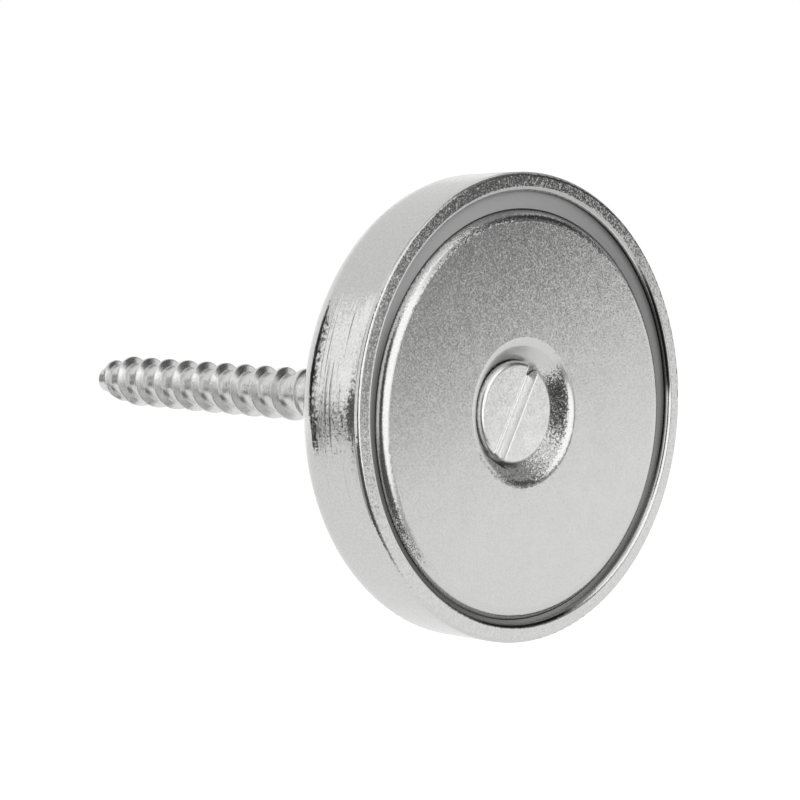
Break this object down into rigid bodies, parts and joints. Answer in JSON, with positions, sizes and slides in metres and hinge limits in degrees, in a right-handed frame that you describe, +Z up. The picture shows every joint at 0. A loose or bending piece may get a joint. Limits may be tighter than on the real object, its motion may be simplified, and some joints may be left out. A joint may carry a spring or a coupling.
{
  "type": "pot magnet",
  "caption": "Round pot magnet in a deep drawn steel cup, with a pressed pole plate and a slotted countersunk wood screw through its centre.",
  "frame": {"origin": "centre of the cup's flat back face, which lies against the wall", "axes": "Y is the axis of the magnet: +Y points into the wall along the screw, -Y out of the magnetic face. +Z is up, and the grey gap is widest there."},
  "size_m": [0.04, 0.0598, 0.04],
  "materials": {
    "cup_nickel": "nickel plated, drawn, with fine streaks round the wall",
    "ferrite": "sintered, dark grey, ground faces",
    "plate_nickel": "nickel plated, satin, finely grained",
    "ring_plastic": "matt grey",
    "screw_zinc": "bright zinc plated, rolled thread"
  },
  "bodies": {
    "root": {"steel_cup": "cup_nickel", "ring_magnet": "ferrite", "pole_plate": "plate_nickel", "spacer_ring": "ring_plastic", "wood_screw": "screw_zinc"}
  },
  "joints": []
}
